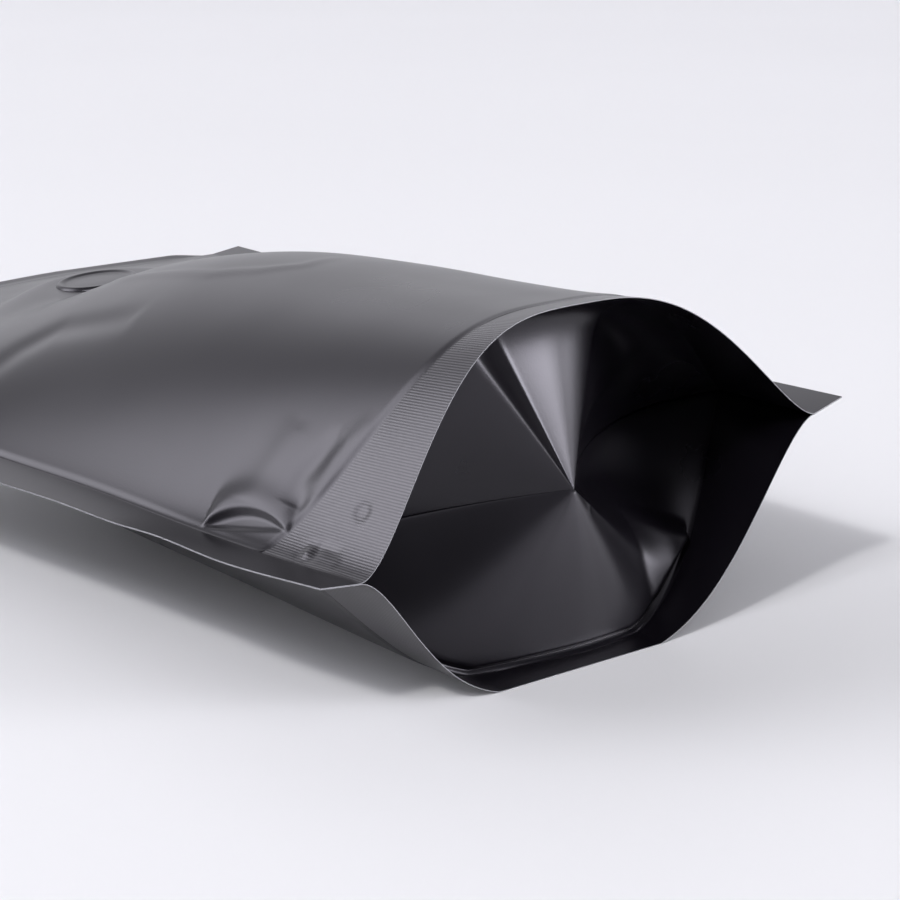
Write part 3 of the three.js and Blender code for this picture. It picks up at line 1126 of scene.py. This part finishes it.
class COFFEEBAG_OT_valve(bpy.types.Operator):
    """Makes the round valve face that shows through the film"""

    bl_idname = "coffee_bag.valve"
    bl_label = "Valve"

    def execute(self, context):
        bag = bag_settings()
        deselect()
        bpy.ops.mesh.primitive_circle_add(vertices=VALVE_SIDES, radius=bag.valve_radius, fill_type="NGON")
        valve = context.object
        valve.name = valve.data.name = "valve_face"
        bpy.ops.object.mode_set(mode="EDIT")
        bpy.ops.mesh.select_all(action="SELECT")
        for inwards, up in VALVE_STEPS:
            bpy.ops.mesh.inset(thickness=inwards * MM, depth=up * MM)
        bpy.ops.mesh.poke()
        bpy.ops.object.mode_set(mode="OBJECT")
        self.set_on_pad(valve)
        valve.data.materials.append(surface_material())
        apply_modifier(valve, "SOLIDIFY", thickness=VALVE_THICKNESS * MM, offset=-1)
        apply_modifier(valve, "SUBSURF", levels=1, render_levels=1)
        smooth_faces(valve)
        stands_for(valve, "degassing_valve")
        return {"FINISHED"}

    @staticmethod
    def set_on_pad(valve):
        """Turns the valve to the slope of its pad and moves it there."""
        only(valve)
        valve.rotation_euler = (math.atan(VALVE_SLOPE_ALONG), -math.atan(VALVE_SLOPE_ACROSS), 0)
        middle = np.array([[0.0, VALVE_FROM_BOTTOM, VALVE_HEIGHT - VALVE_EDGE_SUNK]])
        valve.location = to_frame(middle)[0]
        bpy.ops.object.transform_apply(location=True, rotation=True, scale=True)


# ---------------------------------------------------------------- stage


# Colours of the room's soft lights and of the lamp.
ROOM_COLOR = (0.945, 0.94, 1.0)
KEY_COLOR = (1.0, 0.99, 1.0)

# Camera: place in the frame in metres, its pitch and heading in degrees, and its sensor in millimetres.
CAMERA_PLACE = (-0.3077, -0.4370, 0.1606)
CAMERA_PITCH = 75
CAMERA_HEADING = -40
CAMERA_SENSOR = 36

# The lamp that casts the defined shadow: where it stands and the side of its square face, in metres.
KEY_PLACE = (-1.96, -0.96, 2.20)
KEY_SIZE = 0.2
KEY_TARGET = (0, 0, 0.03)

# Broad soft lights of the studio, all round. Each has the heading of its middle, from straight behind the
# bag towards its right, its elevation, and the angles from its middle at which it starts to fade and ends.
SOFTBOX = (-104, 45, 2, 10)
WINDOW = (-164, 56, 4, 42)
SIDE_GLOW = (-45, 25, 4, 27)
HIGH_GLOW = (-6, 34, 4, 44)
BACKDROP = (40, 16, 4, 46)
FRONT_LIGHT = (137, 8, 2, 20)
# Brightness of the rest of the room.
ROOM_LIGHT = 0.01


def add_key_light(power):
    """The lamp at the left, aimed at the bag."""
    bpy.ops.object.light_add(type="AREA", location=KEY_PLACE)
    light = bpy.context.object
    light.name = "key_light"
    light.data.shape = "SQUARE"
    light.data.size = KEY_SIZE
    light.data.energy = power
    light.data.color = KEY_COLOR
    aim = Vector(KEY_TARGET) - Vector(KEY_PLACE)
    light.rotation_euler = aim.to_track_quat("-Z", "Y").to_euler()


def glow(tree, direction, heading, elevation, inner, outer, brightness):
    """Brightness of one broad soft light, seen in a direction."""
    turn, rise = math.radians(heading), math.radians(elevation)
    towards = add_node(tree, "ShaderNodeVectorMath", operation="DOT_PRODUCT")
    tree.links.new(direction, towards.inputs[0])
    towards.inputs[1].default_value = (
        math.sin(turn) * math.cos(rise), math.cos(turn) * math.cos(rise), math.sin(rise))
    fading = tuple(math.cos(math.radians(angle)) for angle in (outer, inner))
    return ranged(tree, towards.outputs["Value"], 0, brightness, fading, "SMOOTHSTEP")


class COFFEEBAG_OT_stage(bpy.types.Operator):
    """Makes the pale floor, the soft lights and the camera"""

    bl_idname = "coffee_bag.stage"
    bl_label = "Stage"

    def execute(self, context):
        stage = stage_settings()
        deselect()
        bpy.ops.mesh.primitive_plane_add(size=stage.floor_size)
        floor = context.object
        floor.name = floor.data.name = "floor"
        floor.data.materials.append(floor_material())
        add_key_light(stage.key_power)
        self.make_world(context, stage)
        self.make_camera(context, stage)
        context.scene.view_settings.view_transform = "Standard"
        return {"FINISHED"}

    @staticmethod
    def make_world(context, stage):
        """A dim room with the studio's broad soft lights."""
        world = bpy.data.worlds.new("studio")
        context.scene.world = world
        world.use_nodes = True
        tree = world.node_tree
        background = tree.nodes["Background"]
        background.inputs["Color"].default_value = (*ROOM_COLOR, 1)
        direction = add_node(tree, "ShaderNodeTexCoord").outputs["Generated"]
        lights = (
            (SOFTBOX, stage.softbox_light), (WINDOW, stage.window_light), (SIDE_GLOW, stage.side_glow),
            (HIGH_GLOW, stage.high_glow), (BACKDROP, stage.backdrop_light),
            (FRONT_LIGHT, stage.front_light),
        )
        total = ROOM_LIGHT
        for light, brightness in lights:
            total = calculated(tree, "ADD", glow(tree, direction, *light, brightness), total)
        tree.links.new(total, background.inputs["Strength"])

    @staticmethod
    def make_camera(context, stage):
        turn = tuple(math.radians(angle) for angle in (CAMERA_PITCH, 0, CAMERA_HEADING))
        bpy.ops.object.camera_add(location=CAMERA_PLACE, rotation=turn)
        camera = context.object
        camera.name = "camera"
        camera.data.lens = stage.lens
        camera.data.sensor_width = CAMERA_SENSOR
        context.scene.camera = camera


# ---------------------------------------------------------------- add-on


class COFFEEBAG_PT_panel(bpy.types.Panel):
    """Lists the bag's settings and steps"""

    bl_label = "Coffee bag"
    bl_idname = "COFFEEBAG_PT_panel"
    bl_space_type = "VIEW_3D"
    bl_region_type = "UI"
    bl_category = "Coffee bag"

    def draw(self, context):
        layout = self.layout
        for group in (context.scene.coffee_bag, context.scene.coffee_bag_stage):
            column = layout.column()
            for name in group.__annotations__:
                column.prop(group, name)
        for step in STEPS:
            layout.operator(step.bl_idname)


STEPS = (
    COFFEEBAG_OT_stage,
    COFFEEBAG_OT_front_film,
    COFFEEBAG_OT_back_film,
    COFFEEBAG_OT_gusset_film,
    COFFEEBAG_OT_valve,
)
CLASSES = (CoffeeBagSettings, CoffeeBagStageSettings, *STEPS, COFFEEBAG_PT_panel)


def register():
    for item in CLASSES:
        bpy.utils.register_class(item)
    bpy.types.Scene.coffee_bag = PointerProperty(type=CoffeeBagSettings)
    bpy.types.Scene.coffee_bag_stage = PointerProperty(type=CoffeeBagStageSettings)


def unregister():
    del bpy.types.Scene.coffee_bag_stage
    del bpy.types.Scene.coffee_bag
    for item in reversed(CLASSES):
        bpy.utils.unregister_class(item)


def main():
    """Makes the stage and the bag."""
    register()
    bpy.ops.coffee_bag.stage()
    bpy.ops.coffee_bag.front_film()
    bpy.ops.coffee_bag.back_film()
    bpy.ops.coffee_bag.gusset_film()
    bpy.ops.coffee_bag.valve()


if __name__ == "__main__":
    main()
